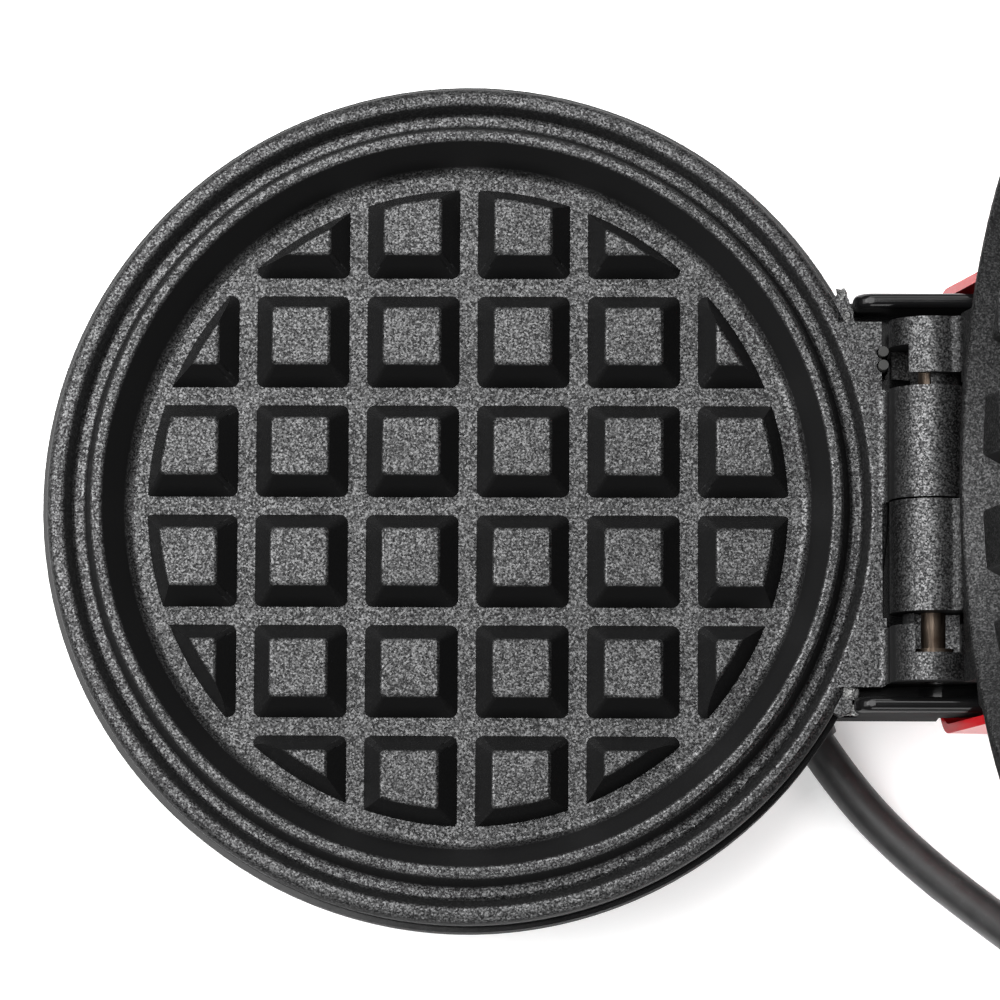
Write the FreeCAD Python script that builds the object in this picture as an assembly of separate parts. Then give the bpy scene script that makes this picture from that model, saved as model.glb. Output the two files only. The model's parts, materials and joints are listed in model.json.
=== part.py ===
import FreeCAD, Part
import math
import os

# A mini waffle maker with a round 6 by 6 lattice, standing with its lid open on its stop.
# Millimetres. The origin is the centre of the base on the table, +X runs to the hinge, +Z up.
# Both plates are the same casting: the upper one is the lower one turned over.

os.makedirs("parts", exist_ok=True)
V = FreeCAD.Vector

# Heights in the closed maker
FLOOR_Z = 28.9
SEAM_Z = 36.0
LID_TOP_Z = 71.5
LID_FLAT_R = 3.0
BOTTOM_Z = 3.0

# Cooking plate, measured from the lattice floor
FLOOR_R = 50.4
WALL_R = 53.7
BEAD_R = 55.3
BEAD_H = 6.95
CHANNEL_IN_R = 56.4
CHANNEL_OUT_R = 58.2
CHANNEL_H = 2.4
RIM_IN_R = 59.5
RIM_R = 62.0
RIM_H = 4.6
PLATE_T = 3.0
STUD_PITCH = 16.35
STUD_BASE = 6.86
STUD_TOP = 4.24
STUD_H = 6.5
STUD_CUT_BASE_R = 47.4
STUD_CUT_TOP_R = 45.3
STUD_CORNER_R = 1.2
STUD_EDGE_R = 0.5

# Hinge
HINGE_X = 68.2
HINGE_H = SEAM_Z - FLOOR_Z
BARREL_R = 6.3
PIN_R = 2.0
PIN_RUN = 0.06
PIN_HALF = 26.2
OPEN_DEG = 103.0
KNUCKLES = [(0.15, 16.5), (-26.6, -18.4)]
BOSS_R = 4.4
BOSS_END = -16.7
WINDOW_FAR_X = 72.0
WINDOW_LOWER_X = 65.3
WINDOW_UPPER_X = 64.0
WINDOW_ENDS = (-22.6, -16.0)
CLIP_R = 2.9
CLIP_T = 0.8
FLANGE_HALF = 27.0
FLANGE_X = 61.6
FLANGE_CUT_X = 61.0
WEB_FILLET = 1.5

# Shells
SHELL_R = 62.9
SHELL_T = 2.0
BAND_Z = 17.5
FOOT_R = 54.5
HOOD_HALF = 33.2
HOOD_T = 1.4
HOOD_X = 82.0
HOOD_LOW_Z = 41.0
CHEEK_IN = 28.6
CHEEK_OUT = 30.9
CHEEK_TOP_Z = 36.6
BLOCK_R = 11.5
TROUGH_R = 7.3
HEEL_HALF = 24.6
HEEL_T = 1.2
HEEL_X = 75.0
NECK_X = 69.63
SHOULDER_Z = 18.0

# Fixings inside
POST_R = 48.5
POST_END = 12.9
POST_ANGLES = [45.0, 135.0, 225.0, 315.0]
STACK_R = 41.0
STACK_ANGLES = [60.0, 180.0, 300.0]
ELEMENT_R = 33.0
TUBE_R = 3.25
TERMINAL_DEG = 24.0
PIN_END = 19.5
WALL_END = 9.6
SHIELD_END = 12.2
SHIELD_T = 0.6

# The two leads to the lid rise in sleeves beside the barrel
LEAD_X = 61.2
LEAD_YS = (22.4, 20.4)
SLEEVE_R = 0.75
SLEEVE_FOOT_Z = 21.0

# Indicator lenses and handle, closed lid
LENS_X = -33.0
LENS_Y = 9.0
HANDLE_SCREW_Y = 9.0
HANDLE_SCREW_Z = 52.0
BOARD_Z = 63.4

# Feet
RING_OUT_R = 43.0
RING_IN_R = 38.0
COVER_SCREW_R = 31.4
COVER_SCREW_ANGLES = [90.0, 210.0, 330.0]
REAR_FOOT_X = 68.0
REAR_FOOT_Y = 15.0
REAR_FOOT_R = 5.0

# Mains lead
CORD_R = 3.0
RELIEF_LOW_Z = 4.0
CLAMP_Z = 5.0
CLAMP_BACK = 10.4
RELIEF_WALL = V(46.2, -20.0, 6.6)
ROUTE = [
    V(52.1, -32.7, 4.0),
    V(57.4, -40.6, 3.2),
    V(67.6, -50.9, 3.02),
    V(82.6, -62.3, 3.02),
    V(97.25, -72.75, 3.02),
    V(111.2, -81.5, 3.02),
]
COIL_START_DEG = 240.0
COIL_END_DEG = 50.0
TURN_OUT_R = 36.0
TURN_IN_R = 30.0
TIE_DEG = 150.0
TIE_T = 0.6
TIE_W = 5.0
COIL_CENTRE = V(
    ROUTE[-1].x - TURN_OUT_R * math.cos(math.radians(COIL_START_DEG)),
    ROUTE[-1].y - TURN_OUT_R * math.sin(math.radians(COIL_START_DEG)),
    0.0,
)


# ---------------------------------------------------------------- helpers


def polar(radius, degrees, z=0.0):
    """The point at this radius and angle about the Z axis."""
    a = math.radians(degrees)
    return V(radius * math.cos(a), radius * math.sin(a), z)


def disc(radius, z0, z1, x=0.0, y=0.0):
    """An upright cylinder between two heights."""
    return Part.makeCylinder(radius, z1 - z0, V(x, y, z0))


def ring(outer, inner, z0, z1):
    """An upright tube centred on the Z axis."""
    return disc(outer, z0, z1).cut(disc(inner, z0, z1))


def block(x0, x1, y0, y1, z0, z1):
    """A box between two corners."""
    return Part.makeBox(x1 - x0, y1 - y0, z1 - z0, V(x0, y0, z0))


def rod_y(radius, y0, y1, x=HINGE_X, z=SEAM_Z):
    """A cylinder along Y."""
    return Part.makeCylinder(radius, y1 - y0, V(x, y0, z), V(0, 1, 0))


def rod(radius, start, end):
    """A cylinder from one point to another."""
    return Part.makeCylinder(radius, (end - start).Length, start, end - start)


def cone(r0, r1, start, end):
    """A cone or a cylinder from one point to another."""
    if abs(r0 - r1) < 1e-6:
        return rod(r0, start, end)
    return Part.makeCone(r0, r1, (end - start).Length, start, end - start)


def outline(corners, place):
    """A closed face through (a, b, corner radius) points; place turns (a, b) into a vector."""
    count = len(corners)
    starts = []
    ends = []
    mids = []
    for i, (a, b, radius) in enumerate(corners):
        here = V(a, b, 0)
        to_last = V(corners[i - 1][0], corners[i - 1][1], 0) - here
        to_next = V(corners[(i + 1) % count][0], corners[(i + 1) % count][1], 0) - here
        to_last.normalize()
        to_next.normalize()
        half = to_last.getAngle(to_next) / 2
        back = radius / math.tan(half) if radius else 0.0
        starts.append(here + to_last * back)
        ends.append(here + to_next * back)
        bisector = to_last + to_next
        reach = radius / math.sin(half) - radius if radius else 0.0
        mids.append(here + bisector.normalize() * reach if radius else here)
    edges = []
    for i in range(count):
        if corners[i][2]:
            arc = Part.Arc(*[place(p.x, p.y) for p in (starts[i], mids[i], ends[i])])
            edges.append(arc.toShape())
        after = (i + 1) % count
        if (starts[after] - ends[i]).Length > 1e-4:
            line = Part.LineSegment(
                place(ends[i].x, ends[i].y), place(starts[after].x, starts[after].y)
            )
            edges.append(line.toShape())
    return Part.Face(Part.Wire(edges))


def turned(corners):
    """A solid of revolution about Z from (radius, z, corner radius) points."""
    face = outline(corners, lambda a, b: V(a, 0, b))
    return face.revolve(V(0, 0, 0), V(0, 0, 1), 360)


def side_slab(corners, y0, y1):
    """An (x, z, corner radius) outline drawn out along Y."""
    face = outline(corners, lambda a, b: V(a, y0, b))
    return face.extrude(V(0, y1 - y0, 0))


def plan_slab(corners, z0, z1):
    """An (x, y, corner radius) outline drawn up along Z."""
    face = outline(corners, lambda a, b: V(a, b, z0))
    return face.extrude(V(0, 0, z1 - z0))


def join(shapes):
    """One solid from touching ones."""
    result = shapes[0]
    for shape in shapes[1:]:
        result = result.fuse(shape)
    return result.removeSplitter()


def around(shape, angles):
    """Copies of a shape turned about the Z axis."""
    copies = []
    for angle in angles:
        copy = shape.copy()
        copy.rotate(V(0, 0, 0), V(0, 0, 1), angle)
        copies.append(copy)
    return copies


def rounded(shape, radius, wanted):
    """A fillet on the edges whose middle point passes the test."""
    edges = [e for e in shape.Edges if wanted(e.CenterOfMass, e)]
    return shape.makeFillet(radius, edges)


def mirrored_y(shape):
    """The other hand of a shape, across the XZ plane."""
    return shape.mirror(V(0, 0, 0), V(0, 1, 0))


# Where things sit: base(), lid() and opened() place shapes made in other frames.


def base(shape):
    """From the plate's frame, with its lattice floor at z = 0, to the lower plate's place."""
    return shape.translated(V(0, 0, FLOOR_Z))


def opened(shape):
    """From the closed lid to the lid open on its stop."""
    copy = shape.copy()
    copy.rotate(V(HINGE_X, 0, SEAM_Z), V(0, 1, 0), OPEN_DEG)
    return copy


def closed_lid(shape):
    """From the plate's frame to the upper plate's place in the closed lid."""
    copy = shape.copy()
    copy.rotate(V(0, 0, 0), V(1, 0, 0), 180)
    return copy.translated(V(0, 0, 2 * SEAM_Z - FLOOR_Z))


def lid(shape):
    """From the plate's frame to the upper plate's place in the open lid."""
    return opened(closed_lid(shape))


# ---------------------------------------------------------------- plates


def stud(column, row):
    """One tapered stud of the lattice, trimmed by the circle where it crosses it."""
    wires = []
    for half, z in ((STUD_BASE, 0.0), (STUD_TOP, STUD_H)):
        corner = STUD_CORNER_R * half / STUD_BASE
        square = [(-half, -half), (half, -half), (half, half), (-half, half)]
        corners = [(a, b, corner) for a, b in square]
        wires.append(outline(corners, lambda a, b, z=z: V(a, b, z)).OuterWire)
    shape = Part.makeLoft(wires, True, True)
    shape.translate(V(column * STUD_PITCH, row * STUD_PITCH, 0))
    if math.hypot(abs(column) + 0.42, abs(row) + 0.42) * STUD_PITCH > STUD_CUT_TOP_R:
        trim = Part.makeCone(STUD_CUT_BASE_R, STUD_CUT_TOP_R, STUD_H)
        shape = shape.common(trim)
    try:
        shape = rounded(shape, STUD_EDGE_R, lambda p, e: p.z > STUD_H - 0.01)
    except Part.OCCError:
        print("stud edge left sharp", column, row)
    return shape


def lattice():
    """The studs: six rows of six without the four outer corners."""
    steps = [-2.5, -1.5, -0.5, 0.5, 1.5, 2.5]
    return [
        stud(column, row)
        for column in steps
        for row in steps
        if abs(column) + abs(row) < 4.9
    ]


def knuckle(y0, y1):
    """A barrel with its web to the flange and a round inside corner between them."""
    drop = HINGE_H - RIM_H
    reach = math.sqrt((BARREL_R + WEB_FILLET) ** 2 - (drop - WEB_FILLET) ** 2)
    fillet = V(HINGE_X - reach, 0, RIM_H + WEB_FILLET)
    axis = V(HINGE_X, 0, HINGE_H)
    touch = axis + (fillet - axis) * (BARREL_R / (BARREL_R + WEB_FILLET))
    foot = V(fillet.x, 0, RIM_H)
    half_way = (touch + foot) * 0.5 - fillet
    low = HINGE_H - BARREL_R
    points = [V(57, 0, low), V(57, 0, RIM_H), foot]
    edges = [
        Part.LineSegment(points[0], points[1]).toShape(),
        Part.LineSegment(points[1], points[2]).toShape(),
        Part.Arc(foot, fillet + half_way.normalize() * WEB_FILLET, touch).toShape(),
        Part.Arc(touch, axis + V(BARREL_R, 0, 0), V(HINGE_X, 0, low)).toShape(),
        Part.LineSegment(V(HINGE_X, 0, low), points[0]).toShape(),
    ]
    face = Part.Face(Part.Wire(edges))
    return face.extrude(V(0, y1 - y0, 0)).translated(V(0, y0, 0))


def plate(bore_r, window_x):
    """One cooking plate, with its lattice floor at z = 0 and its cooking side up."""
    body = turned(
        [
            (0, -PLATE_T, 0),
            (53.6, -PLATE_T, 0.8),
            (54.6, 0, 0.8),
            (RIM_R, 0, 0),
            (RIM_R, RIM_H, 1.3),
            (RIM_IN_R, RIM_H, 0.7),
            (CHANNEL_OUT_R, CHANNEL_H, 0.7),
            (CHANNEL_IN_R, CHANNEL_H, 0.7),
            (BEAD_R, BEAD_H, 0.6),
            (WALL_R, BEAD_H, 0.6),
            (FLOOR_R, 0, 1.6),
            (0, 0, 0),
        ]
    )
    flange = plan_slab(
        [
            (50, -FLANGE_HALF, 0),
            (FLANGE_X, -FLANGE_HALF, 0.8),
            (FLANGE_X, FLANGE_HALF, 0.8),
            (50, FLANGE_HALF, 0),
        ],
        0,
        RIM_H,
    )
    lug = plan_slab(
        [(53.0, 30.2, 0), (54.8, 31.3, 0.3), (56.2, 30.6, 0.4), (57.3, 26.0, 0), (54.0, 26.0, 0)],
        0.6,
        3.9,
    )
    for extra in (lug, mirrored_y(lug)):
        flange = flange.fuse(extra)
    flange = flange.cut(disc(60.4, -1, 10))
    for y0, y1 in ((-16.9, 0.05), (16.9, 30.0)):
        flange = flange.cut(block(FLANGE_CUT_X, 70, y0, y1, -5, 20))
    body = body.fuse(flange)
    for y in LEAD_YS:
        body = body.cut(disc(SLEEVE_R + 0.2, -5, 10, LEAD_X, y))
    for y0, y1 in KNUCKLES:
        body = body.fuse(knuckle(y0, y1).cut(disc(60.4, -1, 10)))
    body = body.fuse(rod_y(BOSS_R, KNUCKLES[1][1] - 1, BOSS_END, HINGE_X, HINGE_H))
    axle = rod_y(bore_r, -40, 40, HINGE_X, HINGE_H)
    window = block(window_x, WINDOW_FAR_X, *WINDOW_ENDS, HINGE_H + 0.9, 20)
    clip_room = rod_y(CLIP_R + 0.2, WINDOW_ENDS[0], WINDOW_ENDS[0] + CLIP_T + 0.1, HINGE_X, HINGE_H)
    body = body.cut(axle).cut(window).cut(clip_room)
    post = disc(3.2, -POST_END, -PLATE_T + 0.5, POST_R, 0)
    post = post.cut(disc(1.25, -POST_END, -5, POST_R, 0))
    stand = disc(2.5, -WALL_END, -PLATE_T + 0.5, STACK_R, 0)
    stand = stand.cut(disc(1.05, -WALL_END, -4.5, STACK_R, 0))
    walls = ring(37.6, 36.3, -WALL_END, -PLATE_T + 0.5)
    walls = walls.fuse(ring(29.7, 28.4, -WALL_END, -PLATE_T + 0.5))
    walls = walls.cut(block(20, 45, -16, 16, -WALL_END, -PLATE_T))
    body = body.fuse(around(post, POST_ANGLES) + around(stand, STACK_ANGLES) + [walls])
    return body.fuse(lattice()).removeSplitter()


# ---------------------------------------------------------------- heating stack, plate frame


def element():
    """A sheathed heater bent to a ring, its ends turned away from the plate."""
    z = -PLATE_T - TUBE_R - 0.05
    sweep = 360 - 2 * TERMINAL_DEG
    hoop = Part.makeTorus(ELEMENT_R, TUBE_R, V(0, 0, z), V(0, 0, 1), -180, 180, sweep)
    hoop.rotate(V(0, 0, 0), V(0, 0, 1), TERMINAL_DEG)
    pieces = [hoop]
    for angle in (TERMINAL_DEG, -TERMINAL_DEG):
        end = polar(ELEMENT_R, angle, z)
        pieces.append(Part.makeSphere(TUBE_R, end))
        pieces.append(rod(TUBE_R, end, end - V(0, 0, 8)))
    return join(pieces)


def element_terminals():
    """The ceramic bush and the pin on each end of the heater."""
    z = -PLATE_T - TUBE_R - 8.05
    pieces = []
    for angle in (TERMINAL_DEG, -TERMINAL_DEG):
        end = polar(ELEMENT_R, angle, z)
        bush = rod(2.4, end, end - V(0, 0, 1.6))
        pin = rod(1.1, end, polar(ELEMENT_R, angle, -PIN_END))
        pieces.append(join([bush, pin]))
    return Part.makeCompound(pieces)


def element_clamp():
    """The pressed steel ring that holds the heater in its groove."""
    top = -WALL_END
    pieces = [ring(37.6, 28.4, top - 0.8, top)]
    ear = plan_slab([(36, -3.4, 0), (44.2, -3.4, 3.3), (44.2, 3.4, 3.3), (36, 3.4, 0)], top - 0.8, top)
    pieces += around(ear, STACK_ANGLES)
    shape = join(pieces)
    shape = shape.cut(block(20, 45, -18.5, 18.5, top - 2, top + 1))
    return cut_all(shape, around(disc(1.4, top - 2, top + 1, STACK_R, 0), STACK_ANGLES))


def cut_all(shape, tools):
    """A shape with several tools cut away."""
    for tool in tools:
        shape = shape.cut(tool)
    return shape


def shield_spacers():
    """The tubes that keep the heat shield off the clamp."""
    tube = disc(2.4, -SHIELD_END, -WALL_END - 0.8, STACK_R, 0)
    tube = tube.cut(disc(1.4, -13, -9, STACK_R, 0))
    return Part.makeCompound(around(tube, STACK_ANGLES))


def heat_shield():
    """A shallow aluminium dish behind the heater."""
    far = -SHIELD_END - SHIELD_T
    edge = 44.9
    shape = turned(
        [
            (9.5, far, 0),
            (edge, far, 1.6),
            (edge, -8.2, 0),
            (edge - SHIELD_T, -8.2, 0),
            (edge - SHIELD_T, -SHIELD_END, 1.0),
            (9.5, -SHIELD_END, 0),
        ]
    )
    holes = around(disc(1.4, -14, -11, STACK_R, 0), STACK_ANGLES)
    for angle in (TERMINAL_DEG, -TERMINAL_DEG):
        at = polar(ELEMENT_R, angle)
        holes.append(disc(4.6, -14, -11, at.x, at.y))
    return cut_all(shape, holes)


def stack_screws():
    """The three screws through shield, spacer and clamp."""
    head = screw(2.3, 1.4, 1.0, 8.2)
    head.rotate(V(0, 0, 0), V(1, 0, 0), 180)
    placed = head.translated(V(STACK_R, 0, -SHIELD_END - SHIELD_T))
    return Part.makeCompound(around(placed, STACK_ANGLES))


def screw(head_r, head_h, shank_r, length):
    """A pan-head screw with a cross recess: head from z = 0 up, shank down."""
    head = disc(head_r, 0, head_h)
    head = rounded(head, head_h * 0.5, lambda p, e: p.z > head_h - 0.01)
    slot = head_r * 0.62
    for angle in (0, 90):
        cutter = block(-slot, slot, -0.28, 0.28, head_h * 0.45, head_h + 1)
        cutter.rotate(V(0, 0, 0), V(0, 0, 1), angle)
        head = head.cut(cutter)
    return join([head, disc(shank_r, -length, 0)])


# ---------------------------------------------------------------- base


def bowl(inset):
    """The base's round form, drawn in by a wall thickness."""
    low = BOTTOM_Z + inset
    return turned(
        [
            (0, low, 0),
            (FOOT_R - inset * 0.8, low, 4.0),
            (SHELL_R - inset, BAND_Z, 12.0),
            (SHELL_R - inset, FLOOR_Z, 0),
            (0, FLOOR_Z, 0),
        ]
    )


def relief_direction():
    """The unit direction of the strain relief, outwards."""
    direction = ROUTE[0] - RELIEF_WALL
    return direction.normalize()


def beside_relief(shape):
    """From a frame at the lead's wall point, +X along the lead's plan direction, to its place."""
    direction = relief_direction()
    copy = shape.copy()
    copy.rotate(V(0, 0, 0), V(0, 0, 1), math.degrees(math.atan2(direction.y, direction.x)))
    return copy.translated(V(RELIEF_WALL.x, RELIEF_WALL.y, 0))


def cord_pocket(grow):
    """The recess under the base that the lead leaves through, grown by a wall."""
    pocket = block(-grow, 40, -7.0 - grow, 7.0 + grow, -2, 12.6 + grow)
    pocket = rounded(
        pocket, 3.0, lambda p, e: p.z > 12 and abs(p.y) > 6.9 or (p.x < 0.1 and abs(p.y) > 6.9)
    )
    return beside_relief(pocket)


def hinge_block():
    """The cheeks and trough behind the bowl that the barrel lies in."""
    mid = math.radians(-45)
    rear = V(HINGE_X + BLOCK_R, 0, SEAM_Z)
    low = V(HINGE_X, 0, SEAM_Z - BLOCK_R)
    middle = V(HINGE_X + BLOCK_R * math.cos(mid), 0, SEAM_Z + BLOCK_R * math.sin(mid))
    nose_x = 56.8
    nose_r = 3.0
    inset = nose_r * (1 - math.cos(math.pi / 4))
    front = V(nose_x, 0, SEAM_Z - BLOCK_R)
    crest = V(nose_x, 0, CHEEK_TOP_Z - nose_r)
    corner = V(nose_x + inset, 0, CHEEK_TOP_Z - inset)
    top = V(nose_x + nose_r, 0, CHEEK_TOP_Z)
    edges = [
        Part.LineSegment(front, crest).toShape(),
        Part.Arc(crest, corner, top).toShape(),
        Part.LineSegment(top, V(rear.x, 0, CHEEK_TOP_Z)).toShape(),
        Part.LineSegment(V(rear.x, 0, CHEEK_TOP_Z), rear).toShape(),
        Part.Arc(rear, middle, low).toShape(),
        Part.LineSegment(low, front).toShape(),
    ]
    face = Part.Face(Part.Wire(edges))
    slab = face.extrude(V(0, 2 * CHEEK_OUT, 0)).translated(V(0, -CHEEK_OUT, 0))
    slab = rounded(slab, 1.0, lambda p, e: abs(p.y) > CHEEK_OUT - 0.01 and p.z > 33)
    trough = rod_y(TROUGH_R, -CHEEK_IN, CHEEK_IN)
    trough = trough.fuse(block(50, HINGE_X + TROUGH_R, -CHEEK_IN, CHEEK_IN, FLOOR_Z, 50))
    trough = trough.fuse(block(50, 90, -CHEEK_IN, CHEEK_IN, 34.0, 50))
    slab = slab.cut(trough)
    return rounded(
        slab,
        0.9,
        lambda p, e: abs(abs(p.y) - CHEEK_IN) < 0.01 and p.z > CHEEK_TOP_Z - 0.01,
    )


def base_housing():
    """The black base shell with its hinge block, neck, heel, lead pocket and posts."""
    neck = block(40, NECK_X, -HEEL_HALF, HEEL_HALF, BOTTOM_Z, 26)
    shoulder = block(48, NECK_X, -CHEEK_OUT, CHEEK_OUT, SHOULDER_Z, 26)
    shoulder = rounded(shoulder, 1.0, lambda p, e: p.z < SHOULDER_Z + 0.01 and abs(p.y) > 30)
    heel = side_slab(
        [
            (40, BOTTOM_Z - 0.5, 0),
            (HEEL_X, BOTTOM_Z - 0.5, 1.5),
            (HEEL_X, 12.0, 5.0),
            (40, 12.0, 0),
        ],
        -HEEL_HALF,
        HEEL_HALF,
    )
    heel = heel.common(
        plan_slab(
            [
                (40, -HEEL_HALF, 0),
                (HEEL_X, -HEEL_HALF, 6),
                (HEEL_X, HEEL_HALF, 6),
                (40, HEEL_HALF, 0),
            ],
            0,
            20,
        )
    )
    outer = join([bowl(0), neck, shoulder, heel, hinge_block()])
    hollow = bowl(SHELL_T)
    hollow = hollow.fuse(disc(SHELL_R - SHELL_T, FLOOR_Z - 1, 60).common(block(-80, 56, -80, 80, 0, 60)))
    hollow = hollow.fuse(
        block(40, NECK_X - 2, HEEL_T - HEEL_HALF, HEEL_HALF - HEEL_T, BOTTOM_Z + SHELL_T, 22.5)
    )
    hollow = hollow.fuse(
        block(50, NECK_X - 2, 2 - CHEEK_OUT, CHEEK_OUT - 2, SHOULDER_Z + 1.6, 22.5)
    )
    hollow = hollow.fuse(
        block(60, HEEL_X - 2.2, -HEEL_HALF + 4, HEEL_HALF - 4, BOTTOM_Z + SHELL_T, 9.8)
    )
    hollow = hollow.cut(cord_pocket(SHELL_T))
    shape = outer.cut(hollow).cut(cord_pocket(0))
    post = disc(4.0, BOTTOM_Z + 0.5, FLOOR_Z - POST_END, POST_R, 0)
    shape = shape.fuse(around(post, POST_ANGLES))
    seat = ring(41.5, 33.0, BOTTOM_Z, BOTTOM_Z + 3.0)
    shape = shape.fuse(seat)
    tools = around(disc(1.7, 0, 20, POST_R, 0), POST_ANGLES)
    tools += around(disc(3.2, 0, 6.5, POST_R, 0), POST_ANGLES)
    tools.append(ring(RING_OUT_R, RING_IN_R, 0, BOTTOM_Z + 1.2))
    tools.append(disc(36.0, 0, BOTTOM_Z + 1.6))
    tools.append(disc(33.0, 0, 12))
    tools += around(disc(1.0, 0, 12, COVER_SCREW_R, 0), COVER_SCREW_ANGLES)
    for side in (1, -1):
        tools.append(disc(REAR_FOOT_R, 0, BOTTOM_Z + 0.7, REAR_FOOT_X, side * REAR_FOOT_Y))
    tools += [disc(SLEEVE_R + 0.2, 18, 30, LEAD_X, y) for y in LEAD_YS]
    direction = relief_direction()
    inner = RELIEF_WALL - direction * SHELL_T
    tools.append(rod(4.9, inner, RELIEF_WALL + direction * 2))
    tools.append(rod(6.2, inner - direction * 1.6, inner))
    tools.append(beside_relief(block(-SHELL_T - 7.2, -SHELL_T, -6.3, 6.3, RELIEF_LOW_Z, 20)))
    tools.append(beside_relief(block(-22, -SHELL_T, -9.5, 9.5, CLAMP_Z, 14)))
    return cut_all(shape, tools).removeSplitter()


def bottom_cover():
    """The round cover in the underside, with vent slots."""
    shape = disc(35.8, BOTTOM_Z, BOTTOM_Z + 1.6)
    slot = plan_slab([(12, -1, 0.9), (27, -1, 0.9), (27, 1, 0.9), (12, 1, 0.9)], 0, 10)
    tools = around(slot, [0, 30, 60, 120, 150, 180, 240, 270, 300])
    tools += around(disc(1.3, 0, 10, COVER_SCREW_R, 0), COVER_SCREW_ANGLES)
    return cut_all(shape, tools)


def cover_screws():
    """Three self-tapping screws that hold the bottom cover to lugs of the base."""
    one = screw(2.2, 1.2, 1.0, 6.0)
    one.rotate(V(0, 0, 0), V(1, 0, 0), 180)
    placed = one.translated(V(COVER_SCREW_R, 0, BOTTOM_Z))
    return Part.makeCompound(around(placed, COVER_SCREW_ANGLES))


def plate_screws():
    """Four long screws from the underside into the plate's posts."""
    one = screw(2.9, 1.9, 1.2, 16.0)
    one.rotate(V(0, 0, 0), V(1, 0, 0), 180)
    placed = one.translated(V(POST_R, 0, 6.5))
    return Part.makeCompound(around(placed, POST_ANGLES))


def foot_ring():
    """The soft ring that the base stands on."""
    shape = ring(RING_OUT_R, RING_IN_R, 0, BOTTOM_Z + 1.2)
    return rounded(shape, 0.8, lambda p, e: p.z < 0.01)


def rear_feet():
    """Two soft pads under the heel, which carry the open lid."""
    pad = disc(REAR_FOOT_R, 0, BOTTOM_Z + 0.7)
    pad = rounded(pad, 0.8, lambda p, e: p.z < 0.01)
    return Part.makeCompound(
        [pad.translated(V(REAR_FOOT_X, side * REAR_FOOT_Y, 0)) for side in (1, -1)]
    )


def thermostat():
    """The bimetal thermostat button against the plate, plate frame."""
    body = join([disc(8.0, -6.4, -PLATE_T), disc(6.6, -10.6, -6.4)])
    blades = [
        block(side * 4 - 1.6, side * 4 + 1.6, -0.4, 0.4, -16.0, -10.6) for side in (1, -1)
    ]
    return join([body] + blades)


def thermostat_clip():
    """The spring strip that presses the thermostat to the plate, plate frame."""
    strip = plan_slab(
        [(-17.5, -4, 3.5), (17.5, -4, 3.5), (17.5, 4, 3.5), (-17.5, 4, 3.5)], -7.2, -6.4
    )
    strip = strip.cut(disc(6.7, -9, -5))
    legs = []
    for side in (1, -1):
        legs.append(disc(2.4, -6.4, -PLATE_T, side * 13.6, 0))
        legs.append(disc(2.2, -8.6, -7.2, side * 13.6, 0))
    return join([strip] + legs)


def thermal_fuse():
    """The one-shot fuse in its sleeve beside the thermostat, plate frame."""
    z = -PLATE_T - 2.05
    start = V(-7, -19, z)
    body = rod(2.0, start, start + V(14, 0, 0))
    leads = [rod(0.5, V(-12, -19, z), start), rod(0.5, V(7, -19, z), V(12, -19, z))]
    return join([body] + leads)


def fuse_clip():
    """The steel strap over the fuse, plate frame."""
    z = -PLATE_T - 2.05
    hoop = Part.makeCylinder(2.5, 5, V(-2.5, -19, z), V(1, 0, 0))
    hoop = hoop.cut(Part.makeCylinder(2.0, 5, V(-2.5, -19, z), V(1, 0, 0)))
    hoop = hoop.cut(block(-3, 3, -23, -15, z, 0))
    legs = []
    for y0, y1 in ((-21.5, -21.0), (-17.0, -16.5)):
        legs.append(block(-2.5, 2.5, y0, y1, z, -PLATE_T))
    feet = []
    for y0, y1 in ((-25.0, -21.5), (-16.5, -13.0)):
        feet.append(block(-2.5, 2.5, y0, y1, -PLATE_T - 0.5, -PLATE_T))
    return join([hoop] + legs + feet)


def hinge_pin():
    """The steel pin, pressed into the lower plate's knuckles."""
    pin = rod_y(PIN_R, -PIN_HALF, PIN_HALF)
    return rounded(pin, 0.4, lambda p, e: abs(p.y) > PIN_HALF - 0.01)


def pin_clip():
    """The spring clip on the pin, in the window of the base's outer knuckle."""
    start = WINDOW_ENDS[0] + 0.05
    clip = rod_y(CLIP_R, start, start + CLIP_T).cut(rod_y(PIN_R, start, start + CLIP_T))
    mouth = block(HINGE_X - 1.3, HINGE_X + 1.3, start, start + CLIP_T, SEAM_Z - CLIP_R - 1, SEAM_Z)
    return clip.cut(mouth)


def lead_sleeves():
    """The glass-fibre sleeves of the two leads to the lid, which rise beside the barrel."""
    return Part.makeCompound([disc(SLEEVE_R, SLEEVE_FOOT_Z, 35.0, LEAD_X, y) for y in LEAD_YS])


def strain_relief():
    """The tapered rubber sleeve that the lead leaves through, with its flange inside."""
    wall = RELIEF_WALL
    tip = ROUTE[0]
    direction = relief_direction()
    inner = wall - direction * SHELL_T
    inside = join(
        [
            rod(6.2, inner - direction * 1.6, inner),
            rod(4.2, inner - direction * 5.0, inner - direction * 1.6),
        ]
    )
    inside = inside.common(block(0, 80, -60, 20, RELIEF_LOW_Z, 40))
    sleeve = join([cone(4.9, 3.7, wall, tip), rod(4.9, inner, wall), inside])
    length = (tip - wall).Length
    grooves = []
    for i in range(4):
        along = 2.6 + i * 2.7
        at = wall + direction * along
        surface_r = 4.95 - 1.2 * along / length
        band = rod(surface_r + 1, at, at + direction * 1.1)
        grooves.append(band.cut(rod(surface_r - 0.75, at, at + direction * 1.1)))
    return cut_all(sleeve, grooves)


def clamp_feet():
    """The places of the saddle's two screws, across the lead."""
    return [V(-CLAMP_BACK, step, 0) for step in (6.7, -6.7)]


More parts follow.
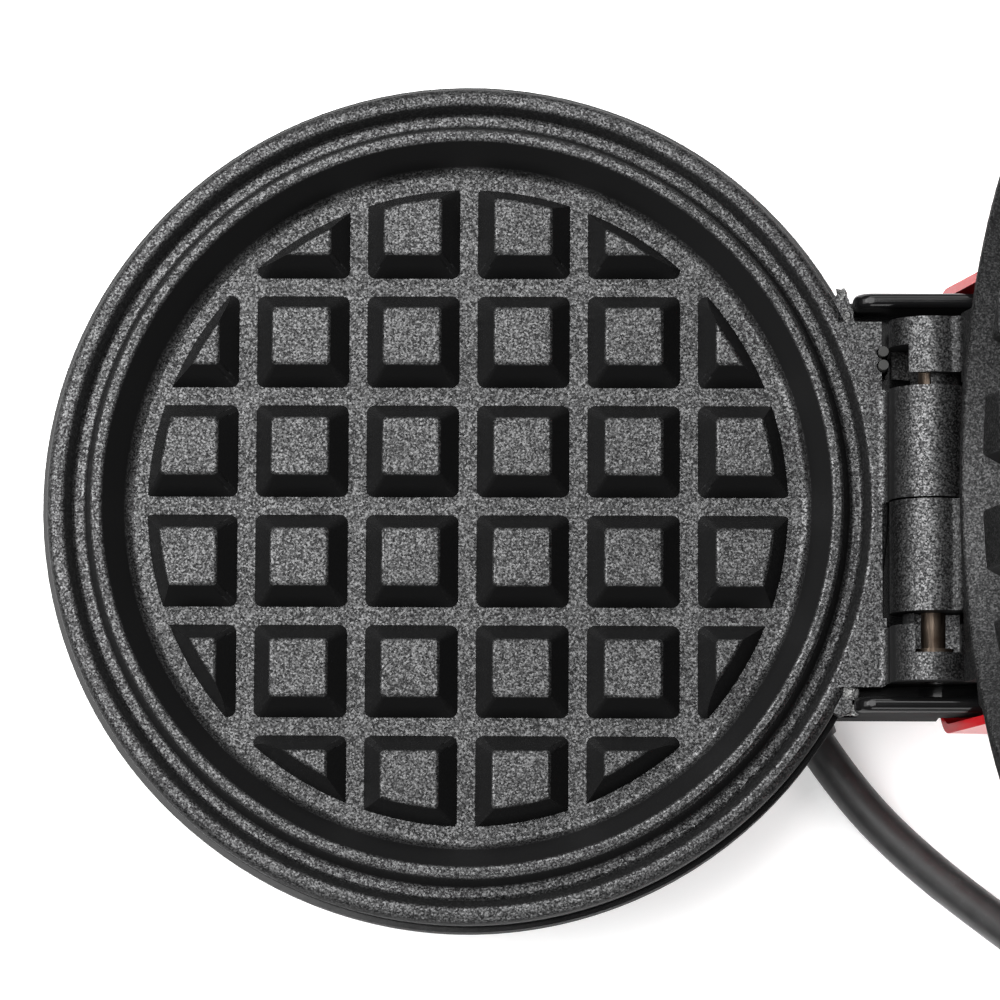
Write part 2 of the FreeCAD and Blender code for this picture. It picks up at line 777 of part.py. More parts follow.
def cord_clamp():
    """The saddle that grips the lead inside the base."""
    top = RELIEF_WALL.z + CLAMP_BACK * abs(relief_direction().z) + CORD_R + 0.6
    near = 2.5 - CLAMP_BACK
    far = -2.5 - CLAMP_BACK
    saddle = block(far, near, -8.5, 8.5, CLAMP_Z, top + 1.6)
    saddle = saddle.cut(block(far, near, -3.4, 3.4, 0, top))
    for y0, y1 in ((-12, -4.9), (4.9, 12)):
        saddle = saddle.cut(block(far, near, y0, y1, CLAMP_Z + 1.8, 30))
    holes = [disc(0.95, 0, 20, at.x, at.y) for at in clamp_feet()]
    return beside_relief(cut_all(saddle, holes))


def cord_clamp_screws():
    """The saddle's two screws."""
    one = screw(1.7, 1.2, 0.9, 1.4).translated(V(0, 0, CLAMP_Z + 1.8))
    return Part.makeCompound([beside_relief(one.translated(at)) for at in clamp_feet()])


def core_ends():
    """The two ends of the lead's stretch inside the base."""
    direction = relief_direction()
    start = RELIEF_WALL - direction * (SHELL_T + 5.0)
    return start, start - direction * 7.2


def cord_core():
    """The end of the lead inside the base, from the relief to its split."""
    start, split = core_ends()
    return rod(CORD_R, split, start)


def wire_path(points, radius):
    """A round wire through points, with a ball at each turn."""
    pieces = []
    for a, b in zip(points, points[1:]):
        pieces.append(rod(radius, a, b))
    for p in points[1:-1]:
        pieces.append(Part.makeSphere(radius, p))
    return join(pieces)


def base_leads():
    """The insulated leads inside the base: to the thermostat, the fuse and the heater."""
    split = core_ends()[1]
    low = FLOOR_Z - PIN_END - 1.0
    blade = FLOOR_Z - 16.9
    left = polar(ELEMENT_R, TERMINAL_DEG, low)
    right = polar(ELEMENT_R, -TERMINAL_DEG, low)
    runs = [
        [split + V(0, -1.2, 0), V(34, -9, low), right],
        [split + V(0, 1.2, 0), V(24, -3, low), V(4.6, 0, blade)],
        [V(-4.6, 0, blade), V(-9, 8, low), V(12, 18, low), left],
    ]
    for start, bend, y in ((left, V(50, 19, low), LEAD_YS[0]), (right, V(47, 2, low), LEAD_YS[1])):
        foot = V(LEAD_X, y, 12)
        runs.append([start + V(1.5, 1.5, 0), bend, foot, V(LEAD_X, y, SLEEVE_FOOT_Z - 0.1)])
    return Part.makeCompound([wire_path(points, 0.9) for points in runs])


# ---------------------------------------------------------------- lid, closed frame


def dome(inset):
    """The lid's round form, drawn in by a wall thickness."""
    low = 2 * SEAM_Z - FLOOR_Z
    top = LID_TOP_Z - inset
    return turned(
        [
            (0, low, 0),
            (SHELL_R - inset, low, 0),
            (SHELL_R - inset, 57.0, 9.0),
            (47.0 - inset * 0.6, top - 2.0, 14.0),
            (LID_FLAT_R, top, 0),
            (0, top, 0),
        ]
    )


def hood(inset):
    """The hood behind the lid that covers the hinge, drawn in by a wall thickness."""
    side = side_slab(
        [
            (45, HOOD_LOW_Z - (1 if inset else 0), 0),
            (HOOD_X - inset, HOOD_LOW_Z - (1 if inset else 0), 0),
            (HOOD_X - inset, 58.5 - inset, 8.0 - inset),
            (62.0, 64.5 - inset, 10.0),
            (45, 66.5 - inset, 0),
        ],
        -HOOD_HALF - 5,
        HOOD_HALF + 5,
    )
    half = HOOD_HALF - inset
    corner = 5.0 - inset
    plan = plan_slab(
        [
            (45, -half, 0),
            (HOOD_X - inset, -half, corner),
            (HOOD_X - inset, half, corner),
            (45, half, 0),
        ],
        30,
        80,
    )
    return side.common(plan)


def frame_hooks():
    """The lid shell's snap hooks, which grip the lid frame's edge."""
    arm = block(-4, 4, -58.9, -57.6, 54.6, 63.0)
    nose = block(-4, 4, -57.6, -56.4, 54.6, 56.0)
    rib = block(-1, 1, -60.0, -57.6, 58.0, 63.0)
    hook = join([arm, nose, rib])
    return around(hook, [0.0, 90.0, 180.0, 270.0])


def lid_shell():
    """The red lid: a dome with the hood that covers the hinge."""
    low = 2 * SEAM_Z - FLOOR_Z
    outer = join([dome(0), hood(0)])
    inner = dome(SHELL_T)
    cavity = hood(HOOD_T).cut(disc(SHELL_R, 0, 90))
    below = disc(SHELL_R + 0.6, 30, low)
    shape = outer.cut(inner).cut(cavity).cut(below)
    hooks = [hook.common(dome(SHELL_T * 0.5)) for hook in frame_hooks()]
    shape = shape.fuse(hooks)
    tools = [disc(2.6, 60, 80, LENS_X, side * LENS_Y) for side in (1, -1)]
    for side in (1, -1):
        y = side * HANDLE_SCREW_Y
        tools.append(rod(1.2, V(-70, y, HANDLE_SCREW_Z), V(-55, y, HANDLE_SCREW_Z)))
    tools.append(block(52, 64, 16.2, 24, low, low + 6))
    shape = cut_all(shape, tools)
    pillars = [disc(1.8, BOARD_Z, 69.0, LENS_X + step, 0) for step in (0, 11)]
    return join([shape] + pillars)


def lid_frame():
    """The carrier ring inside the lid, screwed to the upper plate's posts."""
    shape = ring(57.6, 51.0, 56.0, 58.0)
    lug = plan_slab([(43.5, -5, 4.5), (53, -5, 0), (53, 5, 0), (43.5, 5, 4.5)], 56.0, 58.0)
    shape = join([shape] + around(lug, POST_ANGLES))
    lead_notch = block(52.4, 60, 13.8, 20.0, 50, 60)
    return cut_all(shape, around(disc(1.6, 50, 60, POST_R, 0), POST_ANGLES) + [lead_notch])


def frame_screws():
    """Four screws through the lid frame into the upper plate's posts."""
    one = screw(2.9, 1.9, 1.2, 9.5).translated(V(POST_R, 0, 58.0))
    return Part.makeCompound(around(one, POST_ANGLES))


def lid_handle():
    """The black front handle, hollowed for the fingers underneath."""
    plan = plan_slab(
        [
            (-50, -22, 0),
            (-68, -21, 6),
            (-84, -13, 7),
            (-84, 13, 7),
            (-68, 21, 6),
            (-50, 22, 0),
        ],
        30,
        80,
    )
    side = side_slab(
        [
            (-50, 45.0, 0),
            (-50, 56.5, 0),
            (-66, 55.5, 9),
            (-84, 52.0, 2.2),
            (-84, 47.4, 1.8),
            (-70, 45.0, 12),
        ],
        -30,
        30,
    )
    shape = plan.common(side).cut(disc(SHELL_R, 0, 90))
    grip = side_slab(
        [(-79, 40, 0), (-79, 48.5, 2.5), (-67, 49.5, 2.5), (-67, 40, 0)], -13, 13
    )
    shape = shape.cut(grip)
    holes = []
    for side in (1, -1):
        y = side * HANDLE_SCREW_Y
        holes.append(rod(1.05, V(-67.5, y, HANDLE_SCREW_Z), V(-58, y, HANDLE_SCREW_Z)))
    return cut_all(shape, holes)


def handle_screws():
    """Two screws from inside the lid into the handle."""
    pieces = []
    for side in (1, -1):
        one = screw(2.4, 1.4, 1.0, 7.5)
        one.rotate(V(0, 0, 0), V(0, 1, 0), 90)
        pieces.append(one.translated(V(-59.6, side * HANDLE_SCREW_Y, HANDLE_SCREW_Z)))
    return Part.makeCompound(pieces)


def lens(side):
    """A round indicator lens in the lid, from above the lamp to just proud of the lid."""
    head = disc(2.6, BOARD_Z + 0.2, 70.9, LENS_X, side * LENS_Y)
    return rounded(head, 1.0, lambda p, e: p.z > 70.8)


def lamp_board():
    """The card that holds the two neon lamps, on the lid's two pillars."""
    card = block(LENS_X - 5, LENS_X + 14, -13, 13, BOARD_Z - 1.2, BOARD_Z)
    windows = [disc(1.8, 60, 70, LENS_X, side * LENS_Y) for side in (1, -1)]
    return cut_all(card, windows)


def neon_lamps():
    """Two neon lamps in the card, each below its lens."""
    pieces = []
    for side in (1, -1):
        bulb = disc(1.75, BOARD_Z - 4.5, BOARD_Z + 0.1, LENS_X, side * LENS_Y)
        pieces.append(rounded(bulb, 0.8, lambda p, e: p.z < BOARD_Z - 4.4))
    return Part.makeCompound(pieces)


def lid_leads():
    """The insulated leads inside the lid, from the hinge opening to heater and lamps."""
    z = 2 * SEAM_Z - FLOOR_Z + PIN_END + 1.0
    left = polar(ELEMENT_R, TERMINAL_DEG, z)
    right = polar(ELEMENT_R, -TERMINAL_DEG, z)
    lamp_z = BOARD_Z - 5.6
    runs = [
        [V(60.5, 20.9, 45.6), V(55.6, 19.2, 48.0), V(53.6, 18.2, 58.6), V(48, 15, 61.2), left],
        [V(61.0, 18.4, 45.6), V(56.4, 17.0, 48.0), V(54.3, 15.6, 58.6), V(44, 2, 62.6), right],
        [left + V(-2.0, 0.5, 0), V(-2, 15, lamp_z), V(LENS_X, LENS_Y, lamp_z)],
        [right + V(-2.0, -0.5, 0), V(-2, -15, lamp_z), V(LENS_X, -LENS_Y, lamp_z)],
    ]
    return Part.makeCompound([wire_path(points, 0.9) for points in runs])


# ---------------------------------------------------------------- mains lead


def tube_along(points, radius):
    """A round tube along straight runs joined by tangent arcs; prints each arc's radius."""
    edges = []
    last = points[0]
    for before, here, after in zip(points, points[1:], points[2:]):
        back = before - here
        onward = after - here
        shorter = min(back.Length, onward.Length)
        back.normalize()
        onward.normalize()
        half_turn = (math.pi - back.getAngle(onward)) / 2
        reach = 0.45 * shorter
        bend = reach / math.tan(half_turn)
        start = here + back * reach
        end = here + onward * reach
        inward = back + onward
        inward.normalize()
        middle = here + inward * (bend / math.cos(half_turn) - bend)
        edges.append(Part.LineSegment(last, start).toShape())
        edges.append(Part.Arc(start, middle, end).toShape())
        print(f"cord bend radius {bend:.1f}")
        last = end
    edges.append(Part.LineSegment(last, points[-1]).toShape())
    path = Part.Wire(edges)
    first = points[1] - points[0]
    section = Part.Wire(Part.Circle(points[0], first, radius).toShape())
    tube = path.makePipeShell([section], True, True)
    expected = math.pi * radius**2 * path.Length
    print(f"cord tube volume {tube.Volume:.0f}, section times length {expected:.0f}")
    print(f"cord tube length {path.Length:.1f}")
    return tube


def coil_point(radius, degrees, z):
    """A point of the coil, about the coil's own centre."""
    return COIL_CENTRE + polar(radius, degrees, z)


def tail_route():
    """From the end of the coil's top turn down to the plug, on the coil's outside."""
    start = coil_point(TURN_OUT_R, COIL_END_DEG, 3 * CORD_R)
    a = math.radians(COIL_END_DEG)
    onward = V(-math.sin(a), math.cos(a), 0)
    outward = V(math.cos(a), math.sin(a), 0)
    return [
        start,
        start + onward * 9.0 + outward * 0.4 + V(0, 0, -0.6),
        start + onward * 19.0 + outward * 2.2 + V(0, 0, -2.1),
        start + onward * 28.0 + outward * 5.4 + V(0, 0, -2.5),
    ]


def cord_tie():
    """The strap that holds the coil's turns together."""
    outer = plan_slab(
        [
            (26.6, 0, 0.4),
            (39.4, 0, 0.4),
            (39.4, 13.2, 1.5),
            (26.6, 13.2, 1.5),
        ],
        -TIE_W / 2,
        TIE_W / 2,
    )
    inner = plan_slab(
        [
            (26.6 + TIE_T, TIE_T, 0.3),
            (39.4 - TIE_T, TIE_T, 0.3),
            (39.4 - TIE_T, 13.2 - TIE_T, 1.2),
            (26.6 + TIE_T, 13.2 - TIE_T, 1.2),
        ],
        -TIE_W / 2,
        TIE_W / 2,
    )
    strap = outer.cut(inner)
    strap.rotate(V(0, 0, 0), V(1, 0, 0), 90)
    strap.rotate(V(0, 0, 0), V(0, 0, 1), TIE_DEG)
    return strap.translated(COIL_CENTRE)


def cord_coil():
    """The stored length of the lead: the outer shape of its turns."""
    outer = TURN_OUT_R + CORD_R
    inner = TURN_IN_R - CORD_R
    shape = ring(outer, inner, 0.02, 4 * CORD_R + 0.02)
    shape = rounded(shape, 2.0, lambda p, e: True)
    return shape.translated(COIL_CENTRE)


def plug_frame():
    """The place and heading of the plug at the end of the tail."""
    route = tail_route()
    heading = route[-1] - route[-2]
    heading.z = 0
    heading.normalize()
    return route[-1], math.degrees(math.atan2(heading.y, heading.x))


def in_plug_frame(shape):
    """From the plug's own frame, cord end at the origin and blades along +X."""
    place, angle = plug_frame()
    copy = shape.copy()
    copy.rotate(V(0, 0, 0), V(0, 0, 1), angle)
    return copy.translated(V(place.x, place.y, place.z))


def plug_body():
    """A moulded two-blade plug with its tapered cord sleeve."""
    sleeve = cone(3.7, 4.7, V(0, 0, 0), V(13.5, 0, 0))
    grooves = []
    for i in range(3):
        at = V(2.5 + i * 3.4, 0, 0)
        band = rod(6, at, at + V(1.4, 0, 0))
        grooves.append(band.cut(rod(3.3 + i * 0.25, at, at + V(1.4, 0, 0))))
    head = plan_slab(
        [
            (12, -6, 2.5),
            (19, -9.5, 6),
            (35, -11.5, 2.5),
            (35, 11.5, 2.5),
            (19, 9.5, 6),
            (12, 6, 2.5),
        ],
        -6.4,
        6.4,
    )
    head = rounded(head, 1.8, lambda p, e: abs(abs(p.z) - 6.4) < 0.01)
    return join([cut_all(sleeve, grooves), head])


def plug_blades():
    """The two flat blades."""
    pieces = []
    for side in (1, -1):
        y = side * 6.35
        blade = block(35, 51, y - 0.75, y + 0.75, -3.2, 3.2)
        blade = blade.cut(Part.makeCylinder(1.5, 4, V(47.5, y - 2, 0), V(0, 1, 0)))
        pieces.append(rounded(blade, 1.2, lambda p, e: p.x > 50.9 and e.BoundBox.YLength > 1))
    return Part.makeCompound(pieces)


# ---------------------------------------------------------------- the nodes


def base_nodes():
    """Everything that stays with the base."""
    return {
        "base_housing": base_housing(),
        "bottom_cover": bottom_cover(),
        "cover_screws": cover_screws(),
        "plate_screws": plate_screws(),
        "foot_ring": foot_ring(),
        "rear_feet": rear_feet(),
        "lower_plate": base(plate(PIN_R, WINDOW_LOWER_X)),
        "lower_element": base(element()),
        "lower_terminals": base(element_terminals()),
        "lower_element_clamp": base(element_clamp()),
        "lower_heat_shield": base(heat_shield()),
        "lower_shield_spacers": base(shield_spacers()),
        "lower_shield_screws": base(stack_screws()),
        "thermostat": base(thermostat()),
        "thermostat_clip": base(thermostat_clip()),
        "thermal_fuse": base(thermal_fuse()),
        "fuse_clip": base(fuse_clip()),
        "hinge_pin": hinge_pin(),
        "pin_clip": pin_clip(),
        "lead_sleeves": lead_sleeves(),
        "strain_relief": strain_relief(),
        "cord_clamp": cord_clamp(),
        "cord_clamp_screws": cord_clamp_screws(),
        "cord_core": cord_core(),
        "base_leads": base_leads(),
    }


def lid_nodes():
    """Everything that swings with the lid."""
    return {
        "upper_plate": lid(plate(PIN_R + PIN_RUN, WINDOW_UPPER_X)),
        "upper_element": lid(element()),
        "upper_terminals": lid(element_terminals()),
        "upper_element_clamp": lid(element_clamp()),
        "upper_heat_shield": lid(heat_shield()),
        "upper_shield_spacers": lid(shield_spacers()),
        "upper_shield_screws": lid(stack_screws()),
        "lid_shell": opened(lid_shell()),
        "lid_frame": opened(lid_frame()),
        "frame_screws": opened(frame_screws()),
        "lid_handle": opened(lid_handle()),
        "handle_screws": opened(handle_screws()),
        "power_lens": opened(lens(1)),
        "ready_lens": opened(lens(-1)),
        "lamp_board": opened(lamp_board()),
        "neon_lamps": opened(neon_lamps()),
        "lid_leads": opened(lid_leads()),
    }


def cord_nodes():
    """The mains lead, its coil, tie and plug."""
    return {
        "power_cord": tube_along(ROUTE, CORD_R),
        "cord_coil": cord_coil().cut(cord_tie()),
        "cord_tie": cord_tie(),
        "cord_tail": tube_along(tail_route(), CORD_R),
        "plug_body": in_plug_frame(plug_body()),
        "plug_blades": in_plug_frame(plug_blades()),
    }


for group in (base_nodes(), lid_nodes(), cord_nodes()):
    for name, solid in group.items():
        count = len(solid.Solids)
        print(f"{name}: {count} solids, {solid.Volume:.0f} mm3, valid {solid.isValid()}")
        solid.exportStep(f"parts/{name}.step")
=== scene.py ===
"""The looks of a round mini waffle maker, open on its stop, in the frame of its CAD model."""

import json
import math

import bmesh
import bpy
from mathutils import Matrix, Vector, noise


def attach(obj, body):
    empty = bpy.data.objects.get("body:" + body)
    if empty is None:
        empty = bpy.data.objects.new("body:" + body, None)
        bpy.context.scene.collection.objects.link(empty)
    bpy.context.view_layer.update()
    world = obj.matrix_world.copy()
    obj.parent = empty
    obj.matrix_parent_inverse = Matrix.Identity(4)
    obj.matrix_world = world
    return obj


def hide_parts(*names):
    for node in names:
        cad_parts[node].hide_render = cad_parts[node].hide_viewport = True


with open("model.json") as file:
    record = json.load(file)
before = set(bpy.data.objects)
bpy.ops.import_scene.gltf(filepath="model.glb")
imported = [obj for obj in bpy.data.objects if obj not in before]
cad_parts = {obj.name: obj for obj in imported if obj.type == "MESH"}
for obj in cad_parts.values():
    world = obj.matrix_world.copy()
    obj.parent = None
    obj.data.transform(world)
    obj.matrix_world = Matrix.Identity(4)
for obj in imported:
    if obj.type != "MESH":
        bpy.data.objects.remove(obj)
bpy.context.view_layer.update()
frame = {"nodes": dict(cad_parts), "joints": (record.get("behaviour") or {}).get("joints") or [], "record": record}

MM = 0.001
NODES = frame["nodes"]
HINGE = next(j for j in frame["joints"] if j["name"] == "lid_hinge")
HINGE_AT = Vector(HINGE["pos_m"])
CLOSED_DEG = HINGE["range_deg"][0]
OPEN_RAD = math.radians(-CLOSED_DEG)

# ---------------------------------------------------------------- camera

SENSOR = 36.0
LENS = 196.17
CAMERA_AT = (0.01954, -0.09483, 0.8289)
CAMERA_TURN = (0.11923, 0.01788, 0.0047)


def make_camera():
    """The camera, nearly straight above the base."""
    data = bpy.data.cameras.new("view")
    data.sensor_width = SENSOR
    data.lens = LENS
    data.clip_end = 10.0
    camera = bpy.data.objects.new("view", data)
    camera.location = CAMERA_AT
    camera.rotation_euler = CAMERA_TURN
    bpy.context.scene.collection.objects.link(camera)
    bpy.context.scene.camera = camera


# ---------------------------------------------------------------- materials

# The non-stick coat: its flakes to the metre, its colours, and how much of its flakes is painted on different
# faces, as painted glint from the top light, with the steep walls left black as painted shade.
FLAKE_SCALE = 4300.0
FLAKE_COLOUR = (0.114, 0.1145, 0.1155)
FLAKE_CONTRAST = 2.6
COAT_BLACK = (0.0085, 0.0085, 0.0087)
COAT_EDGE_TINT = (0.65, 0.65, 0.65, 1.0)
# Share of the painted flakes on faces that point up with the lid open: painted glint from the top light.
UPWARD_GLINT_SHARE = 0.55
BARREL_R = 6.3 * MM
# How far a face may turn from level before its glossy plastic becomes textured.
WALL_SLOPE = (0.3, 0.08)


class Recipe:
    """A node material being built around one Principled shader."""

    def __init__(self, name, colour, roughness, metallic=0.0, **values):
        self.material = bpy.data.materials.new(name)
        self.material.use_nodes = True
        self.tree = self.material.node_tree
        self.shader = self.tree.nodes["Principled BSDF"]
        self.coords = self.tree.nodes.new("ShaderNodeTexCoord").outputs["Object"]
        self.set("Base Color", (*colour, 1.0))
        self.set("Roughness", roughness)
        self.set("Metallic", metallic)
        for key, value in values.items():
            self.set(key.replace("_", " "), value)

    def set(self, socket, value):
        self.shader.inputs[socket].default_value = value

    def add(self, kind, inputs=(), **settings):
        """A new node with its settings, constants and links."""
        node = self.tree.nodes.new(kind)
        for key, value in settings.items():
            setattr(node, key, value)
        for key, value in dict(inputs).items():
            if isinstance(value, bpy.types.NodeSocket):
                self.tree.links.new(value, node.inputs[key])
            else:
                node.inputs[key].default_value = value
        return node

    def drive(self, socket, output):
        """Link a node's output to a socket of the shader."""
        self.tree.links.new(output, self.shader.inputs[socket])

    def noise(self, scale, detail=2.0, rough=0.5):
        """Noise at so many cells to the metre."""
        made = self.add(
            "ShaderNodeTexNoise",
            {"Vector": self.coords, "Scale": scale, "Detail": detail, "Roughness": rough},
        )
        return made.outputs["Fac"]

    def cells(self, scale):
        """Voronoi cells at so many to the metre: the distance and a colour drawn for each."""
        made = self.add("ShaderNodeTexVoronoi", {"Vector": self.coords, "Scale": scale})
        return made.outputs["Distance"], made.outputs["Color"]

    def span(self, value, low, high, to_low=0.0, to_high=1.0):
        """A value mapped from one range to another, held at its ends."""
        made = self.add(
            "ShaderNodeMapRange",
            {"Value": value, "From Min": low, "From Max": high, "To Min": to_low, "To Max": to_high},
        )
        return made.outputs["Result"]

    def maths(self, operation, a, b=0.0):
        """One step of arithmetic on two values."""
        return self.add("ShaderNodeMath", {0: a, 1: b}, operation=operation).outputs[0]

    def blend(self, factor, a, b):
        """A colour between two, by a factor."""
        made = self.add("ShaderNodeMix", data_type="RGBA")
        for index, value in ((0, factor), (6, a), (7, b)):
            if isinstance(value, bpy.types.NodeSocket):
                self.tree.links.new(value, made.inputs[index])
            else:
                made.inputs[index].default_value = value if index == 0 else (*value, 1.0)
        return made.outputs[2]

    def bump(self, height, strength, distance):
        """Fine relief from a height, so many metres deep."""
        made = self.add(
            "ShaderNodeBump", {"Height": height, "Strength": strength, "Distance": distance}
        )
        self.drive("Normal", made.outputs["Normal"])


def nonstick(name, axis):
    """A dark non-stick coat. Its metal flakes are painted only on the faces along the axis, on top of the hinge
    barrel and, more thinly, on the faces that point up with the lid open: painted glint where the top light
    catches them. The steep walls are left plain black, as painted shade."""
    coat = Recipe(name, COAT_BLACK, 0.5, Specular_IOR_Level=0.12, Specular_Tint=COAT_EDGE_TINT)
    faces = coat.tree.nodes.new("ShaderNodeTexCoord").outputs["Normal"]
    facing = coat.add("ShaderNodeVectorMath", {0: faces, 1: axis}, operation="DOT_PRODUCT")
    flat = coat.span(facing.outputs["Value"], 0.45, 0.9)
    upward = coat.add("ShaderNodeSeparateXYZ", {"Vector": faces}).outputs["Z"]
    from_pin = coat.add(
        "ShaderNodeVectorMath", {0: coat.coords, 1: HINGE_AT}, operation="SUBTRACT"
    ).outputs[0]
    across = coat.add(
        "ShaderNodeVectorMath", {0: from_pin, 1: (1.0, 0.0, 1.0)}, operation="MULTIPLY"
    ).outputs[0]
    reach = coat.add("ShaderNodeVectorMath", {0: across}, operation="LENGTH").outputs["Value"]
    # Flakes painted on the barrel's upward top as painted glint; its steep sides stay black as painted shade.
    on_barrel = coat.maths(
        "MULTIPLY",
        coat.span(reach, BARREL_R + 0.0004, BARREL_R + 0.0001),
        coat.span(upward, 0.4, 0.85),
    )
    # Faces that point up with the lid open get a share of flakes as painted glint from the top light.
    upward_glint = coat.span(upward, 0.5, 0.95, 0.0, UPWARD_GLINT_SHARE)
    # Where flakes are painted: on faces that catch the top light, as painted glint; the steep walls stay plain
    # black as painted shade.
    painted_glint_mask = coat.maths("MAXIMUM", coat.maths("MAXIMUM", flat, on_barrel), upward_glint)
    shade = coat.cells(FLAKE_SCALE)[1]
    random_grain = coat.add("ShaderNodeSeparateColor", {"Color": shade}).outputs["Red"]
    fine = coat.noise(FLAKE_SCALE * 0.8, 1.0)
    grain = coat.maths("ADD", coat.maths("MULTIPLY", random_grain, 0.6), fine)
    fleck = coat.span(grain, 0.35, 1.15, 0.16, 1.0)
    fleck = coat.maths("POWER", fleck, FLAKE_CONTRAST)
    cloud = coat.span(coat.noise(120.0, 3.0), 0.3, 0.7, 0.9, 1.1)
    fleck = coat.maths("MULTIPLY", coat.maths("MULTIPLY", fleck, cloud), painted_glint_mask)
    coat.drive("Base Color", coat.blend(fleck, COAT_BLACK, FLAKE_COLOUR))
    coat.drive("Metallic", coat.span(painted_glint_mask, 0.0, 1.0, 0.0, 0.95))
    coat.drive("Roughness", coat.span(fleck, 0.0, 1.0, 0.5, 0.4))
    coat.bump(coat.maths("MULTIPLY", fine, painted_glint_mask), 0.25, 0.00006)
    return coat.material


def glossy_plastic(name, colour, roughness, wall_roughness, shine=0.5, ripple=0.25):
    """Polished moulded plastic with finely textured walls: faint ripples, smears and specks of dust."""
    skin = Recipe(name, colour, roughness, Specular_IOR_Level=shine)
    smear = skin.noise(60.0, 4.0)
    speck = skin.noise(2600.0, 1.0)
    dull = skin.span(smear, 0.35, 0.7, roughness * 0.85, roughness * 1.35)
    faces = skin.tree.nodes.new("ShaderNodeTexCoord").outputs["Normal"]
    rise = skin.add("ShaderNodeSeparateXYZ", {"Vector": faces}).outputs["Z"]
    wall = skin.span(skin.maths("ABSOLUTE", rise), *WALL_SLOPE)
    rough_wall = skin.maths("MULTIPLY", wall, wall_roughness)
    skin.drive("Roughness", skin.maths("MAXIMUM", dull, rough_wall))
    tint = skin.span(skin.noise(25.0, 2.0), 0.3, 0.7, 0.0, 1.0)
    pale = tuple(min(1.0, c * 1.12 + 0.0006) for c in colour)
    skin.drive("Base Color", skin.blend(tint, colour, pale))
    height = skin.maths("ADD", smear, skin.maths("MULTIPLY", speck, 0.04))
    skin.bump(height, ripple, 0.0002)
    return skin.material


def matte_plastic(name, colour, roughness=0.55, grain=1800.0):
    """Moulded plastic with a fine spark-eroded grain."""
    skin = Recipe(name, colour, roughness)
    texture = skin.noise(grain, 3.0)
    worn = skin.span(skin.noise(80.0, 3.0), 0.3, 0.75, 0.0, 1.0)
    pale = tuple(min(1.0, c * 1.35 + 0.002) for c in colour)
    skin.drive("Base Color", skin.blend(worn, colour, pale))
    skin.drive("Roughness", skin.span(texture, 0.3, 0.7, roughness * 0.9, min(1.0, roughness * 1.15)))
    skin.bump(texture, 0.35, 0.00008)
    return skin.material


def bare_metal(name, colour, roughness, stain=(0.3, 0.24, 0.18), amount=0.25):
    """Drawn or pressed metal: fine scratches one way and faint stains."""
    skin = Recipe(name, colour, roughness, 1.0)
    stretched = skin.add("ShaderNodeMapping", {"Vector": skin.coords, "Scale": (1.0, 0.08, 1.0)})
    scratch = skin.add(
        "ShaderNodeTexNoise", {"Vector": stretched.outputs[0], "Scale": 3200.0, "Detail": 2.0}
    ).outputs["Fac"]
    stains = skin.span(skin.noise(260.0, 4.0), 0.52, 0.75, 0.0, amount)
    skin.drive("Base Color", skin.blend(stains, colour, stain))
    skin.drive("Roughness", skin.span(scratch, 0.3, 0.7, roughness * 0.75, roughness * 1.4))
    skin.bump(scratch, 0.2, 0.00004)
    return skin.material


def soft_rubber(name, colour, roughness=0.5, shine=0.5):
    """Soft moulded PVC or silicone: satin, faintly mottled, with a trace of dust."""
    skin = Recipe(name, colour, roughness, Specular_IOR_Level=shine)
    mottle = skin.noise(400.0, 3.0)
    dust = skin.span(skin.noise(1500.0, 2.0), 0.6, 0.75, 0.0, 0.35)
    pale = tuple(min(1.0, c * 1.5 + 0.02) for c in colour)
    skin.drive("Base Color", skin.blend(dust, colour, pale))
    skin.drive("Roughness", skin.span(mottle, 0.3, 0.7, roughness * 0.85, roughness * 1.2))
    skin.bump(mottle, 0.25, 0.00012)
    return skin.material


def braid(name, colour):
    """Woven glass-fibre insulation."""
    skin = Recipe(name, colour, 0.75)
    wave = skin.add("ShaderNodeTexWave", {"Vector": skin.coords, "Scale": 900.0, "Distortion": 1.5})
    weave = wave.outputs["Fac"]
    dark = tuple(c * 0.6 for c in colour)
    skin.drive("Base Color", skin.blend(weave, dark, colour))
    skin.bump(weave, 0.6, 0.0001)
    return skin.material


def clear_lens(name, colour):
    """A tinted indicator lens, prismatic inside."""
    skin = Recipe(name, colour, 0.12, Transmission_Weight=0.55, IOR=1.49)
    distance, shade = skin.cells(700.0)
    skin.drive("Roughness", skin.span(distance, 0.0, 0.6, 0.08, 0.2))
    skin.bump(distance, 0.3, 0.0002)
    return skin.material


